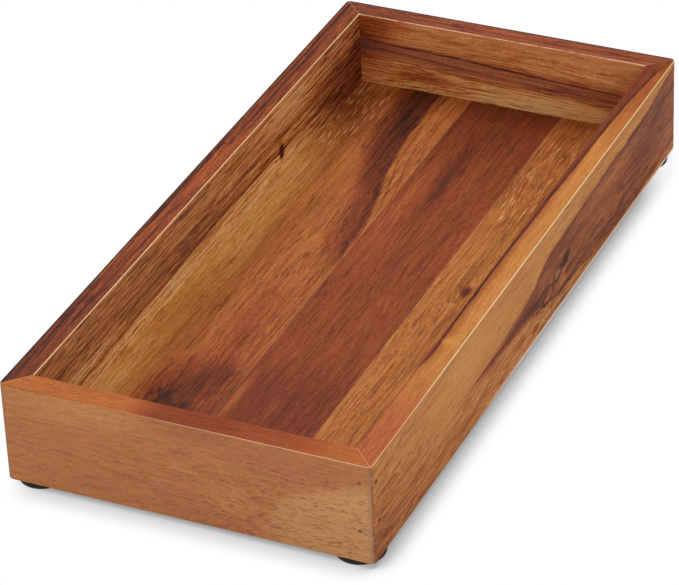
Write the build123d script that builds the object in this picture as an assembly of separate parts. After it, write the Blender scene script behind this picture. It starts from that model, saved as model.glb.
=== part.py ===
from build123d import *
import os
from math import sqrt

# Valet tray: four mitred rails round an edge-glued wooden floor, on four rubber feet.
# Millimetres. +X is the width, +Y the length, +Z up.
# The origin is the centre of the footprint, on the surface that the tray stands on.

# Frame
tray_width = 152.0
tray_length = 320.0
rail_height = 43.5
rail_thickness = 10.0
corner_radius = 2.2
outer_arris_radius = 0.6
inner_arris_radius = 0.5
bottom_arris_radius = 0.6

# Floor panel, let up into a rabbet under the rails and flush with them below
floor_thickness = 10.5
rabbet_width = 4.5
panel_clearance = 0.1
stave_names = ("left", "middle", "right")
stave_width_shares = (0.394, 0.317, 0.289)

# Loose tenon hidden in each mitre
tenon_thickness = 2.6
tenon_outer_cover = 1.6
tenon_top_cover = 7.0
tenon_rabbet_cover = 2.5
tenon_clearance = 0.1
tenon_place_share = 0.41

# A mitre face is this many times as wide as the rail is thick
mitre_width_share = sqrt(2)

# Rubber feet, stuck on under the corners
foot_diameter = 20.0
foot_base_diameter = 19.4
foot_height = 2.0
foot_edge_radius = 0.5
foot_margin = 0.1
adhesive_diameter = 18.6
adhesive_thickness = 0.3

# How far a cutting shape runs past what it cuts
overrun = 1.0

# Heights and half sizes that follow from these
frame_bottom = foot_height + adhesive_thickness
frame_top = frame_bottom + rail_height
floor_top = frame_bottom + floor_thickness
half_width = tray_width / 2
half_length = tray_length / 2
inner_width = tray_width - 2 * rail_thickness
inner_length = tray_length - 2 * rail_thickness
rabbet_inset = rail_thickness - rabbet_width

# The four corners, as signs of X and Y
corners = {
    "front_left": (-1, -1),
    "front_right": (1, -1),
    "back_right": (1, 1),
    "back_left": (-1, 1),
}

# Each rail, with the corners at its two ends
rail_ends = {
    "rail_front": ("front_left", "front_right"),
    "rail_right": ("front_right", "back_right"),
    "rail_back": ("back_right", "back_left"),
    "rail_left": ("back_left", "front_left"),
}


def block(width, length, low, high):
    """A box on the tray's axis, between two heights."""
    shape = Box(width, length, high - low, align=(Align.CENTER, Align.CENTER, Align.MIN))
    return Pos(0, 0, low) * shape


def corner_point(corner, inset):
    """The point in plan that lies this far in from both outer faces at a corner."""
    side_x, side_y = corners[corner]
    return side_x * (half_width - inset), side_y * (half_length - inset)


def top_face(solid):
    return solid.faces().sort_by(Axis.Z)[-1]


def bottom_face(solid):
    return solid.faces().sort_by(Axis.Z)[0]


def frame_ring():
    """The whole frame before it is parted at the mitres."""
    ring = block(tray_width, tray_length, frame_bottom, frame_top)
    ring = fillet(ring.edges().filter_by(Axis.Z), corner_radius)
    ring = fillet(top_face(ring).edges(), outer_arris_radius)
    ring = fillet(bottom_face(ring).edges(), bottom_arris_radius)
    ring -= block(inner_width, inner_length, frame_bottom - overrun, frame_top + overrun)
    ring = fillet(top_face(ring).inner_wires()[0].edges(), inner_arris_radius)
    panel_room = block(
        tray_width - 2 * rabbet_inset,
        tray_length - 2 * rabbet_inset,
        frame_bottom - overrun,
        floor_top,
    )
    return ring - panel_room


def mitre_wedge(ends):
    """The stretch of the frame between the mitre planes at two corners."""
    first, second = ends
    outline = Polygon(
        corner_point(first, -overrun),
        corner_point(second, -overrun),
        corner_point(second, rail_thickness + overrun),
        corner_point(first, rail_thickness + overrun),
        align=None,
    )
    return extrude(Pos(0, 0, frame_bottom - overrun) * outline, rail_height + 2 * overrun)


def tenon(corner, clearance):
    """The round-ended tenon that crosses a mitre square to it, grown on all sides by the clearance."""
    side_x, side_y = corners[corner]
    middle = tenon_place_share * mitre_width_share * rail_thickness
    far_edge = middle + tenon_thickness / 2
    bite = mitre_width_share * (rail_thickness - tenon_outer_cover) - far_edge
    low = floor_top + tenon_rabbet_cover
    high = frame_top - tenon_top_cover
    x, y = corner_point(corner, rail_thickness * (1 - tenon_place_share))
    across = Plane(
        origin=(x, y, (low + high) / 2),
        x_dir=(0, 0, 1),
        z_dir=(side_x, -side_y, 0),
    )
    face = SlotOverall(high - low + 2 * clearance, tenon_thickness + 2 * clearance)
    return extrude(across * face, bite + clearance, both=True)


def floor_staves():
    """The floor's staves, glued edge to edge, each as long as the panel."""
    panel_length = tray_length - 2 * rabbet_inset - 2 * panel_clearance
    hidden_edge = rabbet_width - panel_clearance
    staves = {}
    left = -inner_width / 2
    for name, share in zip(stave_names, stave_width_shares):
        right = left + share * inner_width
        low_x = left - hidden_edge if name == stave_names[0] else left
        high_x = right + hidden_edge if name == stave_names[-1] else right
        stave = block(high_x - low_x, panel_length, frame_bottom, floor_top)
        staves[f"floor_stave_{name}"] = Pos((low_x + high_x) / 2, 0, 0) * stave
        left = right
    return staves


def foot(corner):
    """A tapered rubber foot with a rounded lower edge."""
    x, y = corner_point(corner, foot_margin + foot_diameter / 2)
    shape = Cone(
        foot_base_diameter / 2,
        foot_diameter / 2,
        foot_height,
        align=(Align.CENTER, Align.CENTER, Align.MIN),
    )
    shape = fillet(bottom_face(shape).edges(), foot_edge_radius)
    return Pos(x, y, 0) * shape


def foot_adhesive(corner):
    """The adhesive disc between a foot and the wood."""
    x, y = corner_point(corner, foot_margin + foot_diameter / 2)
    disc = Cylinder(
        adhesive_diameter / 2,
        adhesive_thickness,
        align=(Align.CENTER, Align.CENTER, Align.MIN),
    )
    return Pos(x, y, foot_height) * disc


def build_pieces():
    """Every piece of the tray under its node's name."""
    pieces = {}
    ring = frame_ring()
    for name, ends in rail_ends.items():
        rail = ring & mitre_wedge(ends)
        for corner in ends:
            rail -= tenon(corner, tenon_clearance)
        pieces[name] = rail
    pieces.update(floor_staves())
    for corner in corners:
        pieces[f"loose_tenon_{corner}"] = tenon(corner, 0)
        pieces[f"foot_{corner}"] = foot(corner)
        pieces[f"foot_adhesive_{corner}"] = foot_adhesive(corner)
    return pieces


os.makedirs("parts", exist_ok=True)
for node, piece in build_pieces().items():
    piece.label = node
    export_step(piece, f"parts/{node}.step")
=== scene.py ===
from math import cos, pi, radians, sin

import bpy
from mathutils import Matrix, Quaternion, Vector


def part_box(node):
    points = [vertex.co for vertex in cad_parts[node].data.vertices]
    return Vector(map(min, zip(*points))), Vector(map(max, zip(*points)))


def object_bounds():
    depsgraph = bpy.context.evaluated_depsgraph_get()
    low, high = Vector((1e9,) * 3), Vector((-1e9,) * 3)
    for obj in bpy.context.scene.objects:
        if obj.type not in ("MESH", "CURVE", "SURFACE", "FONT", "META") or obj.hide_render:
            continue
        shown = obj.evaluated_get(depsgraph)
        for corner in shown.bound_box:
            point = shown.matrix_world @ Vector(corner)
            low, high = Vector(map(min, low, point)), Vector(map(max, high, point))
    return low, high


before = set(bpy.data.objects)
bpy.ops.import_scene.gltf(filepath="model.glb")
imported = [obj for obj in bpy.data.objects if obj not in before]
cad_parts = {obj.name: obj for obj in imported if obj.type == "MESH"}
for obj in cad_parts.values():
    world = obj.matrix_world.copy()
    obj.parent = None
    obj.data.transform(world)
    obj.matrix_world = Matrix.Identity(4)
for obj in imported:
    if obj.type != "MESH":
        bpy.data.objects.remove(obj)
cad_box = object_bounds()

# The tray's own frame: +X across its width, +Y along its length, +Z up, in metres
# Materials work in millimetres, from each board's Object coordinates
MM_PER_METRE = 1000.0


# Shader sums and nodes

class Number:
    """A number socket of a material. Sums with it add Math nodes."""

    def __init__(self, paint, socket):
        self.paint = paint
        self.socket = socket

    def math(self, operation, *others):
        """What a Math node gives for this number and others."""
        sockets = dict(enumerate((self,) + others))
        node = self.paint.node("ShaderNodeMath", {"operation": operation}, sockets)
        return Number(self.paint, node.outputs[0])

    def __add__(self, other):
        return self.math("ADD", other)

    def __sub__(self, other):
        return self.math("SUBTRACT", other)

    def __rsub__(self, other):
        return (self * -1.0).math("ADD", other)

    def __mul__(self, other):
        return self.math("MULTIPLY", other)

    def __truediv__(self, other):
        return self.math("DIVIDE", other)

    def __abs__(self):
        return self.math("ABSOLUTE")

    __radd__ = __add__
    __rmul__ = __mul__

    def clamped(self):
        """This number held between 0 and 1."""
        return self.math("MAXIMUM", 0.0).math("MINIMUM", 1.0)

    def toward(self, target, share):
        """This number drawn towards another by a share from 0 to 1."""
        node = self.paint.node("ShaderNodeMix", {"data_type": "FLOAT"}, {0: share, 2: self, 3: target})
        return Number(self.paint, node.outputs[0])

    def step(self, low, high):
        """0 below low, 1 above high, and a smooth rise between them."""
        node = self.paint.node(
            "ShaderNodeMapRange",
            {"interpolation_type": "SMOOTHSTEP"},
            {"Value": self, "From Min": low, "From Max": high},
        )
        return Number(self.paint, node.outputs[0])

    def fall(self, low, high):
        """1 below low, 0 above high, and a smooth fall between them."""
        return 1.0 - self.step(low, high)


class Paint:
    """The nodes of a material, or of the light all round, while they are laid out."""

    def __init__(self, owner, output):
        self.owner = owner
        self.owner.use_nodes = True
        self.nodes = owner.node_tree.nodes
        self.links = owner.node_tree.links
        self.nodes.clear()
        self.output = self.node(output)

    def node(self, kind, settings=None, sockets=None):
        """Adds a node: its settings first, then the values or links of its sockets."""
        node = self.nodes.new(kind)
        for name, value in (settings or {}).items():
            if name == "stops":
                self.set_stops(node.color_ramp, value)
            elif name == "points":
                self.set_points(node.mapping, value)
            else:
                setattr(node, name, value)
        for name, value in (sockets or {}).items():
            if isinstance(value, Number):
                self.links.new(value.socket, node.inputs[name])
            elif isinstance(value, bpy.types.NodeSocket):
                self.links.new(value, node.inputs[name])
            else:
                node.inputs[name].default_value = value
        return node

    def set_stops(self, ramp, stops):
        """Gives a colour ramp its places and colours."""
        while len(ramp.elements) > 1:
            ramp.elements.remove(ramp.elements[-1])
        ramp.elements[0].position, ramp.elements[0].color = stops[0]
        for position, colour in stops[1:]:
            ramp.elements.new(position).color = colour

    def set_points(self, mapping, points):
        """Draws a curve through points."""
        curve = mapping.curves[0]
        while len(curve.points) < len(points):
            curve.points.new(0.5, 0.5)
        for point, place in zip(curve.points, points):
            point.location = place
        mapping.update()

    def place(self):
        """The place on the board in millimetres: x, y and z."""
        coordinates = self.node("ShaderNodeTexCoord").outputs["Object"]
        parts = self.node("ShaderNodeSeparateXYZ", None, {0: coordinates})
        return [Number(self, socket) * MM_PER_METRE for socket in parts.outputs]

    def vector(self, x, y, z):
        """Three numbers as a place in a pattern."""
        return self.node("ShaderNodeCombineXYZ", None, {0: x, 1: y, 2: z}).outputs[0]

    def noise(self, sockets):
        """Soft patches, from 0 to 1."""
        return Number(self, self.node("ShaderNodeTexNoise", None, sockets).outputs[0])

    def relief(self, height, strength):
        """A fine relief for a surface's Normal."""
        sockets = {"Strength": strength, "Distance": RELIEF_DEPTH, "Height": height}
        return self.node("ShaderNodeBump", None, sockets).outputs[0]

    def mixed(self, factor, first, second, blend="MIX"):
        """A colour between two others."""
        node = self.node(
            "ShaderNodeMix",
            {"data_type": "RGBA", "blend_type": blend},
            {"Factor": factor, 6: first, 7: second},
        )
        return node.outputs[2]

    def ramp(self, value, stops):
        """A colour that follows the tone, from the darkest to the palest."""
        stops = [(place / PALEST, colour) for place, colour in stops]
        node = self.node("ShaderNodeValToRGB", {"stops": stops}, {0: value / PALEST})
        return node.outputs[0]

    def between(self, factor, first, second):
        """A shader between two others, which the factor takes from the first to the second."""
        sockets = {0: factor, 1: first.outputs[0], 2: second.outputs[0]}
        return self.node("ShaderNodeMixShader", None, sockets)

    def finish(self, shader):
        """Ends in this shader, and gives back the material or world."""
        self.links.new(shader.outputs[0], self.output.inputs["Surface"])
        return self.owner

    def surface(self, sockets):
        """Ends the material in a Principled surface."""
        return self.finish(self.node("ShaderNodeBsdfPrincipled", None, sockets))


def new_material(name):
    """An empty material of this name."""
    return Paint(bpy.data.materials.new(name), "ShaderNodeOutputMaterial")


# Sizes of the tray in millimetres, from the frame

tray_high = cad_box[1] * MM_PER_METRE
HALF_WIDTH = tray_high.x
HALF_LENGTH = tray_high.y
RIM = tray_high.z
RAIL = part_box("rail_front")[1].y * MM_PER_METRE + HALF_LENGTH
JOIN_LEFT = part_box("floor_stave_left")[1].x * MM_PER_METRE
JOIN_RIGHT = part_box("floor_stave_middle")[1].x * MM_PER_METRE

# Radius of the tray's corners seen from above, in millimetres
CORNER = 2.2

# How far down a rail's face and how far in over its top the lines drawn on them may lie, in millimetres,
# and a place just past the end of each, where a band runs off it
FACE_REACH = 44.0
FACE_END = 60.0
TOP_REACH = 10.0
TOP_END = 12.0

# A rail's top gives way to its faces between these depths below the rim, and the pale line on a top arris,
# wear with a painted highlight, fades between these distances from it, in millimetres
TOP_START = 0.05
TOP_STOP = 0.45
ARRIS_START = 0.6
ARRIS_STOP = 1.0

# Half the width of the pale line along a mitre, in millimetres
MITRE_LINE = 0.22

# Half the width of the line where two floor staves meet, in millimetres, and how much it shows
JOIN_LINE = 0.4
JOIN_SHARE = 0.08

# How far the grain strays sideways, in millimetres: its long bends, its short ones, and the two kinds of
# wave in the lines that are drawn over it
LONG_BEND = 14.0
SHORT_BEND = 2.2
LONG_WAVE = 2.6
SHORT_WAVE = 1.6

# How far apart the places lie from which one board's patterns are taken
PATTERN_STEP = 7.3

# Depth of a surface's fine relief, in metres
RELIEF_DEPTH = 0.0001


# Wood

def shade(red, green, blue):
    """A colour as a picture gives it, from 0 to 255, turned to the linear colour that shaders use."""
    parts = [part / 255.0 for part in (red, green, blue)]
    return tuple(p / 12.92 if p <= 0.04045 else ((p + 0.055) / 1.055) ** 2.4 for p in parts) + (1.0,)


# The tone of the palest flecks. The darkest streaks are 0 and pale golden wood is 1
PALEST = 1.25

# The wood's colour at each tone, where it is golden and where it is red
GOLD = [
    (0.0, shade(38, 18, 8)),
    (0.2, shade(90, 47, 20)),
    (0.4, shade(138, 80, 36)),
    (0.6, shade(180, 114, 55)),
    (0.8, shade(212, 148, 80)),
    (1.0, shade(236, 186, 122)),
    (PALEST, shade(255, 226, 168)),
]
RED = [
    (0.0, shade(32, 11, 7)),
    (0.2, shade(84, 32, 18)),
    (0.4, shade(128, 57, 32)),
    (0.6, shade(170, 88, 50)),
    (0.8, shade(200, 122, 76)),
    (1.0, shade(224, 160, 112)),
    (PALEST, shade(248, 200, 152)),
]

# Colours of the open pores and of pale places, both worn, dry ones and painted highlights on arrises, and
# the filter that warms oiled wood
PORE = shade(60, 28, 16)
PALE = shade(255, 214, 172)
WARM = (1.0, 0.85, 0.42, 1.0)

# How much the broad bands, the fine lines, the dark hairs and the open pores show in the wood
BAND_SHARE = 0.34
LINE_SHARE = 0.46
HAIR_SHARE = 0.2
PORE_SHARE = 0.65

# The oiled surface, between satin and dull, and the strength of its relief
WOOD_ROUGHNESS = 0.52
WOOD_IOR = 1.22
WOOD_RELIEF = 0.2
RUBBER_RELIEF = 0.3


class Look:
    """How light, red, finely lined and broadly banded a board is from place to place."""

    def __init__(self, tone, red, fine=1.0, bold=1.0):
        self.tone = tone
        self.red = red
        self.fine = fine
        self.bold = bold

    def lay(self, share, tone=None, red=None):
        """Draws the tone, the redness or both towards these, by a share from 0 to 1."""
        if tone is not None:
            self.tone = self.tone.toward(tone, share)
        if red is not None:
            self.red = self.red.toward(red, share)

    def add(self, amount):
        """Makes the tone lighter, or darker by less than nothing."""
        self.tone = self.tone + amount

    def over(self, other, share):
        """This look where the share is 0 and the other where it is 1."""
        fine = share * (other.fine - self.fine) + self.fine
        bold = share * (other.bold - self.bold) + self.bold
        return Look(self.tone.toward(other.tone, share), self.red.toward(other.red, share), fine, bold)


class Board:
    """The figure of one board. Its grain runs along it, with streaks and knots laid over that."""

    def __init__(self, name, crosswise, seed):
        self.paint = new_material(name)
        x, y, z = self.paint.place()
        self.along, self.side = (x + HALF_WIDTH, y) if crosswise else (y + HALF_LENGTH, x)
        self.end = 2.0 * (HALF_WIDTH if crosswise else HALF_LENGTH)
        self.depth = (HALF_LENGTH if crosswise else HALF_WIDTH) - abs(self.side)
        self.up = z
        self.down = RIM - z
        # 1 on a rail's faces and 0 on its top, and the other way round
        self.faces = self.down.step(TOP_START, TOP_STOP)
        self.top = 1.0 - self.faces
        self.seed = seed
        self.bent_side, self.bent_up = self.side, self.up
        sway = (self.noise(30.0, 150.0) - 0.5) * LONG_BEND
        ripple = (self.noise(6.0, 36.0) - 0.5) * SHORT_BEND
        self.bent_side = self.side + sway + ripple
        self.bent_up = self.up + sway + ripple
        self.wavy = (self.noise(6.0, 26.0) - 0.5) * LONG_WAVE + (self.noise(1.0, 11.0) - 0.5) * SHORT_WAVE

    def grain_vector(self, across, along):
        """A new place in a pattern, stretched to this size across the grain and along it."""
        self.seed += PATTERN_STEP
        return self.paint.vector(
            self.bent_side / across + self.seed,
            self.along / along + self.seed * 2.0,
            self.bent_up / across - self.seed,
        )

    def noise(self, across, along, detail=2.0, roughness=0.5):
        """Soft patches of this size across the grain and along it, from 0 to 1."""
        return self.paint.noise({
            "Vector": self.grain_vector(across, along),
            "Scale": 1.0,
            "Detail": detail,
            "Roughness": roughness,
        })

    def dashes(self, across, along, size):
        """Scattered dashes along the grain: 1 on a dash and 0 off it."""
        sockets = {"Vector": self.grain_vector(across, along), "Scale": 1.0}
        node = self.paint.node("ShaderNodeTexVoronoi", {"feature": "F1"}, sockets)
        return Number(self.paint, node.outputs[0]).fall(size * 0.5, size)

    def path(self, points, reach=FACE_REACH):
        """A smooth line through points, each so far along the board and so far across, within a reach."""
        places = [(along / self.end, across / reach) for along, across in points]
        node = self.paint.node("ShaderNodeFloatCurve", {"points": places}, {"Value": self.along / self.end})
        return Number(self.paint, node.outputs[0]) * reach

    def band(self, across, low, high, soft):
        """1 between two edges, which may be paths, and soft at both."""
        return (across - low).step(-soft, soft) * (high - across).step(-soft, soft)

    def streak(self, across, centre, half_width):
        """1 on a line, falling softly to 0 at its half width."""
        return abs(across - centre).fall(0.0, half_width)

    def stretch(self, start, stop, soft):
        """1 between two places along the board."""
        return self.band(self.along, start, stop, soft)

    def spot(self, across, centre, radii):
        """1 at the middle of an oval, falling softly to 0 at its edge."""
        long_way = (self.along - centre[0]) / radii[0]
        short_way = (across - centre[1]) / radii[1]
        distance = (long_way * long_way + short_way * short_way).math("SQRT")
        return distance.fall(0.0, 1.0)

    def part_round(self, centre, radii, pull):
        """Parts the grain round a knot on a rail's faces."""
        hold = self.spot(self.down, centre, radii) * pull
        self.bent_up = self.bent_up + (self.down - centre[1]) * hold

    def from_end(self):
        """How far in from the nearer end of the board."""
        return self.end / 2.0 - abs(self.along - self.end / 2.0)

    def mitre(self):
        """1 along the mitres on a rail's top and 0 elsewhere."""
        return abs(self.from_end() - self.depth).fall(MITRE_LINE * 0.4, MITRE_LINE) * self.top

    def outline(self):
        """How far in from the tray's rounded outline, up to the corners' radius."""
        short_side = (CORNER - self.depth).math("MAXIMUM", 0.0)
        short_end = (CORNER - self.from_end()).math("MAXIMUM", 0.0)
        return CORNER - (short_side * short_side + short_end * short_end).math("SQRT")

    def arris(self, inner, width):
        """1 on the pale line along the top arris of a rail's inner or outer face: wear with a painted
        highlight.
        """
        from_edge = abs(self.depth - RAIL) if inner else self.outline()
        on_line = abs(from_edge - self.down).fall(width * 0.6, width)
        return on_line * (from_edge + self.down).fall(ARRIS_START, ARRIS_STOP)

    def dark_edge(self, width):
        """1 along the outer top arris, which is drawn darker."""
        return self.outline().fall(0.4, width) * self.down.fall(0.3, width)

    def ripples(self, across, spacing):
        """Thin dark lines side by side along the grain: 1 on a line and 0 between them."""
        wander = self.noise(6.0, 80.0) * 3.0 + self.noise(2.0, 30.0) * 0.8
        return ((across / spacing + wander) * (2.0 * pi)).math("SINE").step(0.3, 0.95)

    def material(self, look, pores=1.0, pale=None, shimmer=0.0, tints=(), warmth=0.0):
        """The finished wood: bands, lines, pores and satin oil over a look, with pale worn places and
        painted highlights.
        """
        paint = self.paint
        # The figure, from its broadest bands to its finest grit, and a painted gleam that lies across the
        # grain
        bands = self.noise(2.6, 70.0, 3.0) - 0.5
        lines = self.noise(1.2, 44.0, 3.0, 0.72) - 0.5
        hairs = self.noise(0.7, 26.0, 2.0, 0.55).step(0.5, 0.64)
        fibres = self.noise(0.8, 6.0, 2.0, 0.6) - 0.5
        grit = self.noise(0.9, 1.4, 1.0) - 0.5
        across = self.noise(7.0, 1.1, 2.0) - 0.5
        grain = (lines * LINE_SHARE - hairs * HAIR_SHARE + 0.06) * look.fine
        grain = grain + fibres * (look.fine * 0.12 + 0.1) + grit * (look.fine * 0.16 + 0.12)
        tone = look.tone + bands * look.bold * BAND_SHARE + grain + across * shimmer
        red = look.red + bands * 0.7 - lines * 0.5
        colour = paint.mixed(red.clamped(), paint.ramp(tone, GOLD), paint.ramp(tone, RED))
        # Open pores, some short and some long
        pore = self.dashes(0.9, 16.0, 0.28) * self.noise(2.0, 12.0).step(0.38, 0.58)
        pore = pore + self.dashes(1.2, 28.0, 0.22) * 0.6
        colour = paint.mixed((pore * pores * PORE_SHARE).clamped(), colour, PORE)
        for share, tint in tints:
            colour = paint.mixed(share, colour, tint)
        colour = paint.mixed(warmth, colour, WARM, "MULTIPLY")
        if pale is not None:
            colour = paint.mixed(pale.clamped(), colour, PALE)
        return paint.surface({
            "Base Color": colour,
            "Roughness": (WOOD_ROUGHNESS + lines * 0.2 + pore * 0.15).clamped(),
            "IOR": WOOD_IOR,
            "Normal": paint.relief(lines + fibres * 0.3 - pore, WOOD_RELIEF),
        })


def rail_right_wood():
    """Golden, with a dark tongue of heartwood and a knot at its root."""
    board = Board("rail_right_wood", crosswise=False, seed=3.0)
    knot = (182.8, 26.2)
    board.part_round(knot, (34.0, 12.0), 0.6)
    down = board.down + board.wavy
    along = board.along
    patch = board.noise(9.0, 60.0) - 0.5
    mottle = board.noise(5.0, 14.0) - 0.5
    # Even above and more finely lined below, with broad patches
    lined = down.step(18.0, 34.0) * 0.8 + along.fall(20.0, 70.0) * 0.6 + along.step(120.0, 180.0) * 0.4
    face = Look(patch * 0.16 + mottle * 0.12 + 0.69, patch * 0.6 + 0.1, lined + 0.35, 0.5)
    face.lay(board.spot(down, (-10.0, 46.0), (140.0, 34.0)), 0.54, 0.7)
    face.lay(board.spot(down, (88.0, 12.0), (70.0, 16.0)), 0.76, 0.1)
    face.lay(board.band(down, 33.0, FACE_END, 5.0), 0.61, 0.42)
    face.lay(board.spot(down, (130.0, 40.0), (70.0, 8.0)), 0.72, 0.4)
    face.add(along.fall(10.0, 80.0) * -0.08)
    face.add(along.step(280.0, 312.0) * -0.06)
    face.lay(board.spot(down, (112.0, 26.0), (40.0, 6.0)), 0.68, 0.85)
    # The tongue of heartwood, between its upper and its lower edge
    upper = board.path([
        (0, 26), (88, 26.2), (113, 25.4), (130, 22.6), (146, 20.6), (157, 18), (168, 13.8),
        (182, 11.8), (218, 9.2), (240, 8.5), (260, 8.8), (275, 7.8), (290, 6.5), (305, 4.5),
        (314, 2.7), (320, 1.8),
    ])
    lower = board.path([
        (0, 26), (88, 26.6), (113, 27.4), (131, 28.2), (146, 29.2), (160, 31.5), (174, 34.4),
        (186, 36.2), (205, 37), (225, 39), (262, 41.5), (320, 44),
    ])
    tongue = board.band(down, upper, lower, 1.4) * along.step(84.0, 128.0)
    face.lay(tongue, mottle * 0.24 + 0.42, 0.66)
    face.lay(board.spot(down, (184.0, 15.0), (30.0, 6.0)) * tongue, 0.36, 0.7)
    face.lay(board.spot(down, (172.0, 20.0), (12.0, 5.0)), 0.56, 0.8)
    face.lay(board.spot(down, (240.0, 15.0), (56.0, 7.0)) * tongue, 0.6, 0.6)
    face.lay(board.spot(down, (228.0, 27.0), (40.0, 9.0)) * tongue, 0.5, 0.55)
    face.lay(board.spot(down, (282.0, 22.0), (26.0, 10.0)), 0.34, 0.9)
    face.add(board.spot(down, (240.0, 39.0), (30.0, 7.0)) * -0.14)
    face.add(board.spot(down, (176.0, 27.0), (26.0, 10.0)) * -0.08)
    face.lay(board.spot(down, (312.0, 33.0), (20.0, 6.0)), 0.52, 0.7)
    # The paler hem below the tongue
    hem = board.path([(0, 42), (230, 42), (275, 39.5), (320, 37)])
    face.lay(board.band(down, hem, FACE_END, 1.6) * along.step(235.0, 275.0), 0.62, 0.5)
    face.lay(board.streak(down, hem, 1.4) * along.step(235.0, 275.0), 0.3, 0.8)
    # Dark lines on the tongue's upper edge, through its root and round the knot
    ridge = board.stretch(162.0, 330.0, 30.0) * (along.step(235.0, 262.0) * 0.35 + 0.5)
    face.lay(board.streak(down, upper + 0.8, 1.6) * ridge, 0.26, 0.85)
    second = board.path([(0, 18), (275, 18), (295, 14.5), (320, 10)])
    face.lay(board.streak(down, second, 2.6) * along.step(280.0, 304.0), 0.26, 0.85)
    core = board.path([(0, 25.5), (140, 25.5), (150, 26), (160, 27), (168, 28.4), (190, 31)])
    face.lay(board.streak(down, core, 2.6) * board.stretch(147.0, 165.0, 6.0), 0.16, 0.75)
    face.lay(board.streak(down, core, 1.1) * board.stretch(98.0, 150.0, 9.0), 0.26, 0.8)
    split = board.path([(0, 25.4), (130, 25.2), (145, 24), (160, 23.2), (190, 22.6)])
    face.lay(board.streak(down, split, 1.0) * board.stretch(133.0, 161.0, 6.0), 0.2, 0.8)
    stem = board.path([(0, 25), (164, 25.4), (178, 27), (190, 28)])
    face.lay(board.streak(down, stem, 0.9) * board.stretch(165.0, 179.0, 3.0), 0.2, 0.8)
    hem_of_knot = board.path([
        (0, 26), (131, 26), (146, 26.4), (156, 27.8), (167, 29.8), (174, 33.2), (184, 35.4),
        (198, 35.8), (209, 37), (223, 39), (320, 44),
    ])
    face.lay(board.streak(down, hem_of_knot, 1.1) * board.stretch(142.0, 224.0, 8.0), 0.24, 0.85)
    # The knot, with its halo, its lobe and its eye
    rough = board.down + board.wavy + (board.noise(1.6, 2.4) - 0.5) * 2.4
    halo = board.spot(rough, (knot[0] + 1.0, knot[1] + 1.0), (15.0, 7.5))
    face.lay(halo.step(0.05, 0.45) * 0.8, 0.5, 0.6)
    face.lay(board.spot(down, (188.0, 31.8), (8.0, 3.2)), 0.66, 0.5)
    face.lay(board.spot(down, (187.0, 19.6), (8.0, 1.6)), 0.6, 0.8)
    lobe_centre = (172.6, 30.4)
    lobe = board.spot(rough + (along - lobe_centre[0]) * 0.12, lobe_centre, (8.0, 4.6))
    face.lay(lobe.step(0.04, 0.26), 0.22, 0.8)
    face.lay(lobe.step(0.3, 0.55), 0.54, 0.7)
    tilted = rough + (along - knot[0]) * 0.2
    face.lay(board.spot(tilted, (191.6, 25.8), (6.4, 3.6)).step(0.0, 0.5), 0.08, 0.7)
    eye = board.spot(tilted, knot, (6.8, 4.4))
    face.lay(eye.step(0.05, 0.35), 0.12, 0.7)
    eye_core = eye.step(0.5, 0.72)
    face.lay(eye_core, 0.44, 0.35)
    # Two small dots, the near corner, and the far end darkened as painted shade where the corner turns away
    for place in ((4.0, 8.5), (5.5, 26.5)):
        face.lay(board.spot(board.down, place, (1.5, 1.2)).step(0.1, 0.5), 0.12, 0.6)
    face.lay(board.spot(board.down, (0.0, 40.0), (9.0, 16.0)), 0.5, 0.7)
    face.lay(along.fall(0.6, 2.6) * 0.7, 0.52, 0.6)
    face.lay(along.step(318.6, 319.6), 0.2, 0.7)
    # The top, from its outer edge to its inner edge
    inward = board.depth + board.wavy * 0.35
    top = Look(patch * 0.16 + 0.74, patch * 0.5 + 0.25, 0.35, 0.5)
    top.lay(along.fall(25.0, 80.0), 0.65, 1.0)
    edge = board.path([
        (0, 9.5), (60, 9.5), (80, 8.7), (120, 9.2), (150, 9.0), (200, 8.3), (234, 7.6),
        (260, 7.0), (286, 5.6), (299, 4.3), (311, 2.6), (320, 0.2),
    ], TOP_REACH)
    top.lay(board.band(inward, 6.4, TOP_END, 2.4) * board.stretch(66.0, 230.0, 20.0), 0.56, 0.6)
    top.lay(along.step(226.0, 300.0) * 0.8, 0.5, 0.85)
    top.lay(board.band(inward, edge, TOP_END, 0.7), mottle * 0.2 + 0.36, 0.85)
    top.lay(board.streak(inward, edge, 0.9) * along.step(60.0, 80.0), 0.18, 0.9)
    top.lay(board.spot(inward, (86.0, 5.0), (5.0, 5.0)), 0.78, 0.1)
    top.lay(board.spot(inward, (316.0, 2.0), (18.0, 6.0)), 0.42, 0.9)
    # Worn mitre, warm oil, and thin tints on the tongue, the knot, the foot, the corner and the arris,
    # whose pale line is wear with a painted highlight
    pale = board.mitre() * along.fall(100.0, 200.0) * 0.34
    warmth = along.step(190.0, 290.0) * 0.34 + board.top * 0.5
    foot_line = board.streak(board.down, 42.5, 0.8) * along.step(90.0, 150.0)
    arris = board.arris(inner=False, width=0.3)
    tints = [
        (tongue * board.faces * 0.05, shade(150, 110, 110)),
        (eye_core * 0.34, shade(130, 112, 100)),
        (foot_line, shade(255, 240, 226)),
        (along.fall(0.4, 2.4) * board.faces * 0.4, shade(132, 98, 84)),
        # Painted highlight with wear along the outer top arris
        (arris * along.fall(20.0, 70.0) * 0.8, shade(255, 206, 160)),
        (arris * along.step(20.0, 70.0), shade(255, 240, 204)),
    ]
    pores = down.step(14.0, 30.0) * 0.6 + 0.4
    look = face.over(top, board.top)
    return board.material(look, pores=pores, pale=pale, shimmer=0.04, tints=tints, warmth=warmth)


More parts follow.
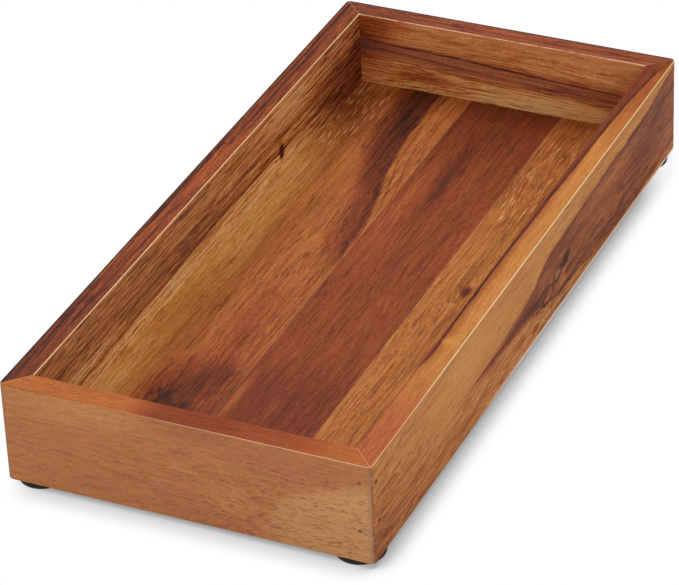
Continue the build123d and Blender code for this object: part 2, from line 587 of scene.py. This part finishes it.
def rail_left_wood():
    """Golden-brown with fine dark lines, and dark red on its top."""
    board = Board("rail_left_wood", crosswise=False, seed=31.0)
    knot = (227.5, 23.2)
    board.part_round(knot, (16.0, 8.0), 0.5)
    down = board.down + board.wavy
    along = board.along
    patch = board.noise(7.0, 50.0) - 0.5
    face = Look(patch * 0.14 + 0.73, patch * 0.3 + 0.12, 1.5, 0.3)
    face.add(along.step(110.0, 250.0) * 0.12 - 0.06)
    face.add(board.spot(down, (16.0, 2.0), (50.0, 9.0)) * -0.08)
    # One long dark line with paler wood below it
    line = board.path([(0, 27), (48, 25.6), (105, 23.8), (168, 21.9), (212, 22.4), (280, 25.4), (320, 26)])
    face.lay(board.band(down, line, FACE_END, 1.0), 0.98, 0.0)
    face.lay(board.spot(down, (58.0, 21.5), (48.0, 6.0)), 0.98, 0.0)
    face.lay(board.spot(down, (210.0, 15.0), (60.0, 8.0)), 0.86, 0.4)
    face.add(board.spot(down, (156.0, 23.0), (50.0, 6.0)) * -0.24)
    face.add(along.step(264.0, 300.0) * board.band(down, 19.0, 27.0, 3.0) * -0.1)
    face.lay(board.stretch(190.0, 270.0, 20.0) * down.fall(10.0, 24.0) * 0.6, None, 0.7)
    face.lay(board.streak(down, line, 1.5), along.step(60.0, 140.0) * -0.16 + 0.58, 0.35)
    face.lay(board.streak(down, line - 2.6, 1.6) * board.stretch(110.0, 200.0, 30.0), 0.52, 0.4)
    # A fainter line nearer the top
    fainter = board.path([(0, 12), (70, 13), (160, 15), (250, 16.4), (320, 17)])
    face.lay(board.streak(down, fainter, 1.6), 0.5, 0.5)
    face.lay(board.spot(down, (120.0, 17.5), (90.0, 6.0)), 0.56, 0.3)
    # The far end, redder, and darker as painted shade near the back wall, with paler spots near the top
    far = along.step(235.0, 308.0)
    face.lay(far * down.step(5.0, 15.0), 0.36, 0.9)
    face.lay(far * down.fall(5.0, 15.0), 0.58, 0.8)
    face.lay(board.spot(down, (244.0, 6.0), (54.0, 11.0)), 0.9, 0.1)
    face.lay(board.spot(down, (286.0, 4.0), (30.0, 9.0)), 0.8, 0.7)
    # The knot
    face.lay(board.spot(board.down + board.wavy * 0.6, knot, (4.0, 6.4)).step(0.0, 0.8), 0.14, 0.8)
    # Fine lines side by side, broad and narrow, and a darker outer face
    broad = board.ripples(down, 2.2) * board.noise(5.0, 30.0).step(0.2, 0.6)
    face.add(broad * (along.step(220.0, 290.0) * -0.14 - 0.26))
    narrow = board.ripples(down, 1.5) * board.noise(5.0, 30.0).step(0.2, 0.6)
    face.add(narrow * -0.16)
    face.add(board.depth.fall(1.0, 4.0) * -0.22)
    # The top, with long dark streaks and a dark outer edge
    inward = board.depth + board.wavy * 0.35
    top = Look(patch * 0.24 + 0.46, 0.95 + patch * 0.3, 1.0, 1.2)
    top.lay(along.fall(20.0, 130.0), 0.33, 0.95)
    length = 90.0
    for start, place in ((0.0, 3.0), (40.0, 6.4), (110.0, 2.0), (190.0, 5.0), (250.0, 2.6)):
        top.lay(board.streak(inward, place, 1.1) * board.stretch(start, start + length, 25.0), 0.12, 0.9)
    top.add(along.step(160.0, 280.0) * -0.05)
    top.lay(board.dark_edge(1.5) * 0.9, 0.0, 0.5)
    # Worn mitres, the inner arris pale with wear and a painted highlight, and a thin haze on the near part
    # of the face
    pale = board.mitre() * 0.3
    near_haze = along.step(150.0, 220.0) * -0.07 + 0.07
    tints = [
        (board.faces * down.fall(20.0, 27.0) * near_haze, shade(195, 165, 160)),
        # Painted highlight with wear along the inner top arris
        (board.arris(inner=True, width=0.36), shade(255, 228, 200)),
    ]
    look = face.over(top, board.top)
    warmth = board.top * 0.8
    return board.material(look, pores=0.8, pale=pale, shimmer=0.03, tints=tints, warmth=warmth)


def rail_back_wood():
    """Golden-brown with two long dark lines, and dark red on its top."""
    board = Board("rail_back_wood", crosswise=True, seed=23.0)
    down = board.down + board.wavy * 0.7
    along = board.along
    patch = board.noise(7.0, 40.0) - 0.5
    face = Look(patch * 0.24 + 0.87, patch * 0.5 + 0.75, 1.0, 0.4)
    face.lay(along.step(60.0, 130.0) * 0.7, 0.96)
    # Paler low down: paler wood, lifted with painted light bounced from the floor
    face.lay(down.step(19.0, 27.0) * along.step(30.0, 80.0), 1.05, 0.4)
    face.lay(down.step(20.0, 27.0), None, 0.75)
    # Two long dark lines, with darker wood round them
    first = board.path([(0, 11.6), (10, 12), (40, 13.1), (70, 14.4), (105, 16.1), (130, 17.3), (152, 18.4)])
    second = board.path([(0, 15.2), (38, 16.5), (60, 18.3), (90, 19.6), (120, 20.4), (152, 21)])
    face.lay(board.band(down, first - 2.0, second + 3.0, 2.2), 0.68, 0.65)
    face.lay(board.streak(down, first, 0.85), along.step(80.0, 120.0) * 0.12 + 0.2, 0.8)
    face.lay(board.streak(down, first + 1.7, 0.9) * 0.6, 0.56, 0.7)
    face.lay(board.streak(down, second, 1.2) * (1.0 - along.step(50.0, 90.0) * 0.7), 0.44, 0.75)
    face.lay(board.streak(down, second + 1.0, 1.1) * board.stretch(90.0, 104.0, 5.0), 0.4, 0.8)
    face.lay(board.streak(down, second + 4.0, 0.8) * along.fall(60.0, 100.0), 0.6, 0.7)
    # Patches below the lines, the broad pale one lifted with painted light from the floor, and painted
    # shade in the left corner
    face.lay(board.spot(down, (40.0, 26.0), (24.0, 5.0)), 0.66, 0.9)
    face.lay(board.spot(down, (98.0, 30.0), (50.0, 9.0)), 1.18, 0.65)
    face.lay(board.spot(down, (30.0, 31.0), (20.0, 4.0)), 0.92, 0.2)
    face.lay(board.spot(down, (8.0, 12.0), (24.0, 20.0)), 0.34, 0.95)
    face.lay(board.spot(down, (12.0, 2.0), (28.0, 9.0)), 0.5, 1.0)
    # Fine lines side by side, a redder foot at the right and a darker outer face
    face.add(board.ripples(down, 2.2) * -0.06)
    patchy = board.noise(4.0, 14.0).step(0.25, 0.6)
    face.add(board.ripples(down, 1.4) * patchy * (down.step(16.0, 22.0) * -0.22 - 0.04))
    face.lay(board.spot(down, (112.0, 2.0), (50.0, 14.0)), None, 1.1)
    face.add(board.depth.fall(1.0, 4.0) * -0.26)
    # The top
    top = Look(patch * 0.24 + 0.46, 0.95 + patch * 0.3, 1.1)
    top.lay(board.streak(board.depth + board.wavy * 0.3, 6.0, 1.6), 0.36, 0.9)
    top.add(along.fall(20.0, 50.0) * -0.09)
    top.lay(board.dark_edge(1.7) * 0.9, 0.0, 0.5)
    # Inner arris pale with wear and a painted highlight, worn mitres, a thin tint between the lines, and a
    # pale tint below them that is painted light from the floor
    ragged = board.noise(1.0, 5.0).step(0.3, 0.55) * 0.6 + 0.2
    pale = board.arris(inner=True, width=0.36) * ragged + board.mitre() * 0.3
    warmth = board.faces * 0.3 + 0.1
    tints = [
        (board.band(down, first - 1.0, second + 3.0, 2.0) * board.faces * 0.2, shade(140, 108, 120)),
        # Painted light from the floor, low on the face
        (board.spot(down, (106.0, 30.0), (36.0, 9.0)) * board.faces * 0.25, shade(255, 204, 140)),
    ]
    pores = down.step(18.0, 24.0) * 0.8 + 0.6
    look = face.over(top, board.top)
    return board.material(look, pores=pores, pale=pale, shimmer=0.03, tints=tints, warmth=warmth)


def rail_front_wood():
    """Even orange-tan, paler and more golden in a lower corner."""
    board = Board("rail_front_wood", crosswise=True, seed=11.0)
    down = board.down + board.wavy
    along = board.along
    patch = board.noise(10.0, 40.0) - 0.5
    mottle = board.noise(4.0, 10.0) - 0.5
    face = Look(patch * 0.06 + mottle * 0.1 + 0.67, patch * 0.3 + 0.65, 0.35, 0.2)
    face.lay(board.spot(down, (34.0, 4.0), (50.0, 12.0)), 0.74, 0.2)
    face.lay(board.spot(board.down, (78.0, 1.0), (26.0, 8.0)), 0.58, 0.5)
    face.lay(board.spot(down, (112.0, 9.0), (36.0, 11.0)), 0.67, 0.85)
    # The golden lower corner
    golden = board.path([(0, 44), (96, 40), (110, 29), (118, 21.5), (131, 16), (152, 8.6)])
    lower = board.band(down, golden, FACE_END, 3.0) * along.step(98.0, 124.0)
    face.lay(board.spot(down, (94.0, 29.0), (16.0, 9.0)), 0.72, 0.3)
    face.lay(lower, 0.75, 0.25)
    # A painted pale glint
    glint = board.path([(0, 17), (62, 19), (95, 23), (152, 30)])
    face.lay(board.streak(board.down, glint, 1.2) * board.stretch(62.0, 92.0, 10.0), 0.72, 0.5)
    # Short dark dashes, two small dots, and the left end darkened as painted shade where the corner turns
    # away
    short = board.dashes(0.9, 6.0, 0.32) * board.noise(2.5, 10.0).step(0.3, 0.5)
    short = short + board.dashes(0.7, 4.5, 0.3) * 0.8
    face.add(short * (board.spot(down, (150.0, 40.0), (110.0, 44.0)) * -0.44 - 0.1))
    for place, tone in (((147.0, 7.8), 0.36), ((146.7, 29.3), 0.1)):
        face.lay(board.spot(board.down, place, (1.4, 1.1)).step(0.1, 0.5), tone, 0.7)
    face.lay(along.fall(0.2, 1.6), 0.3, 0.7)
    # The top, reddest in its middle
    top = Look(patch * 0.14 + 0.66, patch * 0.4 + 0.75, 0.4, 0.4)
    middle = board.stretch(60.0, 130.0, 14.0)
    top.lay(middle, 0.51, 0.9)
    top.lay(board.stretch(60.0, 98.0, 10.0), 0.4, 0.9)
    # Outer arris pale with wear and a painted highlight, worn mitres, and thin tints on the face, the
    # golden corner, the top and the right end
    pale = board.arris(inner=False, width=0.26) * along.step(20.0, 110.0) * 0.65 + board.mitre() * 0.34
    tints = [
        (board.faces * 0.12, shade(205, 170, 140)),
        (lower * board.faces * 0.12, shade(225, 190, 150)),
        (middle * board.top * 0.12, shade(176, 60, 30)),
        (along.step(149.4, 151.0) * board.faces * 0.45, shade(140, 108, 92)),
    ]
    look = face.over(top, board.top)
    shimmer = board.top * 0.04 + 0.02
    warmth = board.top * 0.88
    return board.material(look, pores=0.45, pale=pale, shimmer=shimmer, tints=tints, warmth=warmth)


def stave(name, seed):
    """A floor stave's board, and how far across the floor a place lies from the left rail."""
    board = Board(name, crosswise=False, seed=seed)
    across = board.side + HALF_WIDTH - RAIL + board.wavy
    return board, across


def flecks(board):
    """Short pale dashes, painted glints where the oiled grain catches the light."""
    return board.dashes(0.68, 17.0, 0.28) + board.dashes(0.8, 22.0, 0.25)


def join_line(board, place):
    """The faint pale line where two staves meet."""
    return board.streak(board.side, place, JOIN_LINE) * JOIN_SHARE


def stave_left_wood():
    """Golden at its edge and red in the middle, with a dark patch and a dark curving streak."""
    board, across = stave("stave_left_wood", 41.0)
    along = board.along
    patch = board.noise(8.0, 60.0) - 0.5
    look = Look(patch * 0.16 + 0.58, patch * 0.6 + 0.5, 0.8, 0.8)
    look.lay(board.spot(across, (52.0, 44.0), (60.0, 24.0)), 0.36, 0.95)
    look.lay(board.band(across, -20.0, 14.0, 7.0) * along.fall(230.0, 300.0), 0.88, 0.15)
    look.add(board.spot(across, (118.0, 8.0), (60.0, 18.0)) * -0.14)
    look.lay(board.spot(across, (110.0, 38.0), (76.0, 17.0)), 0.52, 1.0)
    # Darker towards the far end and in the far left corner: darker wood, deepened with painted shade of the
    # walls
    look.lay(along.step(190.0, 310.0) * across.step(-10.0, 22.0), 0.5, 0.7)
    look.lay(board.spot(across, (296.0, 4.0), (36.0, 20.0)), 0.44, 0.75)
    # The dark streak, which curves away from the join between an upper and a lower edge
    reach = 60.0
    upper = board.path([
        (0, 46), (170, 44), (187, 41), (213, 38), (233, 33), (253, 28), (271, 25), (293, 23), (320, 20),
    ], reach)
    lower = board.path([
        (0, 52), (180, 51.4), (200, 50), (213, 48.2), (227, 45.4), (240, 42.5), (253, 40), (267, 38.7),
        (320, 38),
    ], reach)
    under = (across - upper).step(-6.0, 6.0) * (lower - across).step(-1.2, 1.2)
    look.lay(board.spot(across, (238.0, 21.0), (36.0, 9.0)), 0.64, 0.3)
    look.lay(under * along.step(150.0, 190.0), along.step(200.0, 290.0) * -0.18 + 0.36, 0.9)
    # The paler strip beyond its lower edge, with two thin lines
    strip = board.band(across, lower, 70.0, 1.2) * along.step(195.0, 225.0)
    look.lay(strip, along.step(230.0, 290.0) * -0.08 + 0.58, 0.4)
    look.lay(board.streak(across, lower + 2.6, 1.0) * strip, 0.42, 0.6)
    look.lay(board.streak(across, lower + 6.5, 0.9) * strip, 0.46, 0.5)
    look.lay(board.streak(across, lower - 1.8, 2.6) * along.step(160.0, 200.0) * 0.8, 0.22, 0.85)
    look.lay(board.spot(across, (300.0, 31.0), (44.0, 7.0)), 0.12, 0.5)
    # The dark patch near the front
    look.lay(board.spot(across, (60.0, 32.0), (44.0, 22.0)).step(0.0, 0.7), 0.42, 1.0)
    rough = across + (board.noise(3.0, 5.0) - 0.5) * 12.0
    look.lay(board.spot(rough, (58.0, 33.0), (30.0, 17.0)).step(0.0, 0.9), 0.28, 0.85)
    look.lay(board.spot(rough, (50.0, 38.0), (11.0, 10.0)).step(0.0, 0.9), 0.08, 0.4)
    look.lay(board.spot(rough, (57.0, 28.0), (11.0, 5.0)), 0.14, 0.6)
    look.lay(board.spot(rough, (78.0, 43.0), (20.0, 8.0)), 0.26, 0.85)
    look.add(flecks(board) * board.spot(across, (284.0, 6.0), (44.0, 20.0)).step(0.0, 0.4) * 0.58)
    return board.material(look, pores=0.8, pale=join_line(board, JOIN_LEFT), shimmer=0.03, warmth=0.4)


def stave_middle_wood():
    """Red-brown with a smoky streak."""
    board, across = stave("stave_middle_wood", 53.0)
    along = board.along
    patch = board.noise(8.0, 80.0) - 0.5
    look = Look(patch * 0.26 + 0.46, 0.95 + patch * 0.4, 0.55, 0.8)
    look.lay(along.fall(70.0, 110.0), 0.38, 1.0)
    look.lay(board.spot(across, (66.0, 54.5), (30.0, 3.4)), 0.56, 0.6)
    look.lay(board.spot(across, (240.0, 58.0), (50.0, 6.0)), 0.56, 0.8)
    smoke = board.path([(0, 74), (190, 71), (250, 67.5), (290, 65), (320, 63.6)], reach=100.0)
    look.lay(board.streak(across, smoke, 6.0) * along.step(150.0, 290.0), 0.16, 0.7)
    # Darker towards the far end: darker wood, deepened with painted shade of the back wall
    look.lay(along.step(225.0, 300.0), 0.32, 0.85)
    lines = join_line(board, JOIN_LEFT) + join_line(board, JOIN_RIGHT)
    return board.material(look, pores=0.4, pale=lines, shimmer=0.03, warmth=0.45)


def stave_right_wood():
    """Golden-tan with a small dark red spot."""
    board, across = stave("stave_right_wood", 61.0)
    along = board.along
    patch = board.noise(8.0, 70.0) - 0.5
    look = Look(patch * 0.2 + 0.63, patch * 0.6 + 0.3, 0.9, 0.9)
    # Darker towards the far end: darker wood, deepened with painted shade of the back wall
    look.lay(along.step(190.0, 310.0), 0.5, 0.5)
    look.lay(board.spot(across, (167.5, 109.0), (6.0, 3.5)), 0.15, 0.95)
    look.add(flecks(board) * board.spot(across, (262.0, 104.0), (66.0, 20.0)).step(0.0, 0.5) * 0.4)
    return board.material(look, pores=0.8, pale=join_line(board, JOIN_RIGHT), shimmer=0.03, warmth=0.4)


def tenon_wood():
    """Raw beech, hidden in the mitres."""
    paint = new_material("tenon_wood")
    x, y, z = paint.place()
    fleck = paint.noise({"Vector": paint.vector(x * 0.5, y * 0.5, z * 0.12), "Scale": 3.0})
    return paint.surface({
        "Base Color": paint.mixed(fleck.step(0.35, 0.7), shade(214, 176, 134), shade(188, 142, 100)),
        "Roughness": 0.6 + fleck * 0.1,
    })


def dull_black(name, light, roughness):
    """Black rubber or adhesive with a fine uneven surface, painted darker in its hollows as shade."""
    paint = new_material(name)
    x, y, z = paint.place()
    grain = paint.noise({"Vector": paint.vector(x, y, z), "Scale": 3.0})
    # Painted shade: darker where the relief is low
    painted_hollow_shade = shade(light * 0.6, light * 0.6, light * 0.62)
    return paint.surface({
        "Base Color": paint.mixed(grain, painted_hollow_shade, shade(light, light, light)),
        "Roughness": grain * 0.2 + roughness,
        "Normal": paint.relief(grain, RUBBER_RELIEF),
    })


def dress(node, material):
    """Gives a CAD node its material."""
    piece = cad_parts[node]
    piece.data.materials.clear()
    piece.data.materials.append(material)


boards = {
    "rail_right": rail_right_wood(),
    "rail_front": rail_front_wood(),
    "rail_back": rail_back_wood(),
    "rail_left": rail_left_wood(),
    "floor_stave_left": stave_left_wood(),
    "floor_stave_middle": stave_middle_wood(),
    "floor_stave_right": stave_right_wood(),
}
for node, material in boards.items():
    dress(node, material)

beech = tenon_wood()
rubber = dull_black("foot_rubber", light=30, roughness=0.5)
adhesive = dull_black("foot_adhesive", light=60, roughness=0.6)
for corner in ("front_left", "front_right", "back_right", "back_left"):
    dress(f"loose_tenon_{corner}", beech)
    dress(f"foot_{corner}", rubber)
    dress(f"foot_adhesive_{corner}", adhesive)


# Floor, light and camera

# The paper: its width in metres, its colour in the light, and how far from the tray its shadow reaches
PAPER_WIDTH = 8.0
PAPER = (0.8, 0.8, 0.8, 1.0)
SHADOW_REACH = 0.014
SHADOW_SAMPLES = 16

# The paper under the tray turns clear between these distances inside its outline, in millimetres
CLEAR_START = 2.0
CLEAR_STOP = 8.0

# Strength of the light from all round
ROOM_LIGHT = 0.6

BLACK = (0.0, 0.0, 0.0, 1.0)
WHITE = (1.0, 1.0, 1.0, 1.0)

# The two lamps: place and width in metres, and power in watts
KEY_PLACE = (-1.1, 0.7, 1.7)
KEY_WIDTH = 0.9
KEY_POWER = 18.0
FILL_PLACE = (1.4, -1.2, 0.9)
FILL_WIDTH = 1.2
FILL_POWER = 9.0

# The camera, solved from the tray's own straight edges: angles in degrees, places in metres and the lens in
# millimetres
CAMERA_AZIMUTH = 25.566
CAMERA_ELEVATION = 32.633
CAMERA_ROLL = -2.597
CAMERA_AIM = Vector((-0.01317, 0.00705, 0.0))
CAMERA_DISTANCE = 1.537
LENS = 200.3
SENSOR_WIDTH = 36.0
NEAREST_SEEN = 0.05
FARTHEST_SEEN = 30.0


def shadow(paint, x, y):
    """The grey that the camera sees the paper in: white in the open, and darker close to the tray as a
    painted shadow.
    """
    sockets = {"Distance": SHADOW_REACH}
    open_sky = paint.node("ShaderNodeAmbientOcclusion", {"samples": SHADOW_SAMPLES}, sockets)
    sky = Number(paint, open_sky.outputs["AO"])
    brightness = sky * 0.83 + 0.23
    # The light comes from behind on the left, so the shadow is painted in front and, deeper, on the right
    on_right = x.step(HALF_WIDTH - 10.0, HALF_WIDTH + 3.0)
    brightness = brightness.toward(sky.step(0.38, 0.9) * 0.68 + 0.32, on_right)
    brightness = brightness.toward(1.0, x.fall(-HALF_WIDTH - 3.0, 14.0 - HALF_WIDTH))
    brightness = brightness.toward(1.0, y.step(HALF_LENGTH - 48.0, HALF_LENGTH - 8.0) * 0.85)
    return paint.mixed(brightness.math("MINIMUM", 1.0), BLACK, WHITE)


def paper_floor():
    """A broad sheet of white paper. The camera sees it white, with the soft painted shadow close to the
    tray.
    """
    bpy.ops.mesh.primitive_plane_add(size=PAPER_WIDTH, location=(0.0, 0.0, 0.0))
    floor = bpy.context.object
    floor.name = "paper_floor"
    paint = new_material("paper")
    x, y = paint.place()[:2]
    lit = paint.node("ShaderNodeBsdfDiffuse", None, {"Color": PAPER})
    seen = paint.node("ShaderNodeEmission", None, {"Color": shadow(paint, x, y), "Strength": 1.0})
    clear = paint.node("ShaderNodeBsdfTransparent")
    # Under the tray the paper lets the light through, so that the underside isn't black from below
    under = abs(x).fall(HALF_WIDTH - CLEAR_STOP, HALF_WIDTH - CLEAR_START)
    under = under * abs(y).fall(HALF_LENGTH - CLEAR_STOP, HALF_LENGTH - CLEAR_START)
    sheet = paint.between(under, lit, clear)
    ray = paint.node("ShaderNodeLightPath").outputs["Is Camera Ray"]
    upper_side = paint.between(ray, sheet, seen)
    # From below, the paper is clear all over
    back = paint.node("ShaderNodeNewGeometry").outputs["Backfacing"]
    floor.data.materials.append(paint.finish(paint.between(back, upper_side, clear)))


def studio_world():
    """Soft even light from all round, which the camera sees as white."""
    world = bpy.data.worlds.new("studio")
    bpy.context.scene.world = world
    paint = Paint(world, "ShaderNodeOutputWorld")
    light = paint.node("ShaderNodeBackground", None, {"Color": WHITE, "Strength": ROOM_LIGHT})
    seen = paint.node("ShaderNodeBackground", None, {"Color": WHITE, "Strength": 1.0})
    ray = paint.node("ShaderNodeLightPath").outputs["Is Camera Ray"]
    paint.finish(paint.between(ray, light, seen))


def soft_lamp(name, place, width, power):
    """A square soft box that points at the tray."""
    lamp = bpy.data.lights.new(name, "AREA")
    lamp.size = width
    lamp.energy = power
    holder = bpy.data.objects.new(name, lamp)
    holder.location = place
    holder.rotation_mode = "QUATERNION"
    holder.rotation_quaternion = Vector(place).to_track_quat("Z", "Y")
    bpy.context.scene.collection.objects.link(holder)


def photo_camera():
    """The camera at the angle that the tray is seen from."""
    azimuth, elevation = radians(CAMERA_AZIMUTH), radians(CAMERA_ELEVATION)
    back = Vector((sin(azimuth) * cos(elevation), -cos(azimuth) * cos(elevation), sin(elevation)))
    roll = Quaternion((0.0, 0.0, 1.0), radians(CAMERA_ROLL))
    lens = bpy.data.cameras.new("camera")
    lens.lens = LENS
    lens.sensor_width = SENSOR_WIDTH
    lens.clip_start = NEAREST_SEEN
    lens.clip_end = FARTHEST_SEEN
    camera = bpy.data.objects.new("camera", lens)
    camera.location = CAMERA_AIM + back * CAMERA_DISTANCE
    camera.rotation_mode = "QUATERNION"
    camera.rotation_quaternion = back.to_track_quat("Z", "Y") @ roll
    bpy.context.scene.collection.objects.link(camera)
    bpy.context.scene.camera = camera


bpy.ops.object.select_all(action="DESELECT")
paper_floor()
studio_world()
soft_lamp("key_lamp", KEY_PLACE, KEY_WIDTH, KEY_POWER)
soft_lamp("fill_lamp", FILL_PLACE, FILL_WIDTH, FILL_POWER)
photo_camera()
bpy.context.scene.view_settings.view_transform = "Standard"
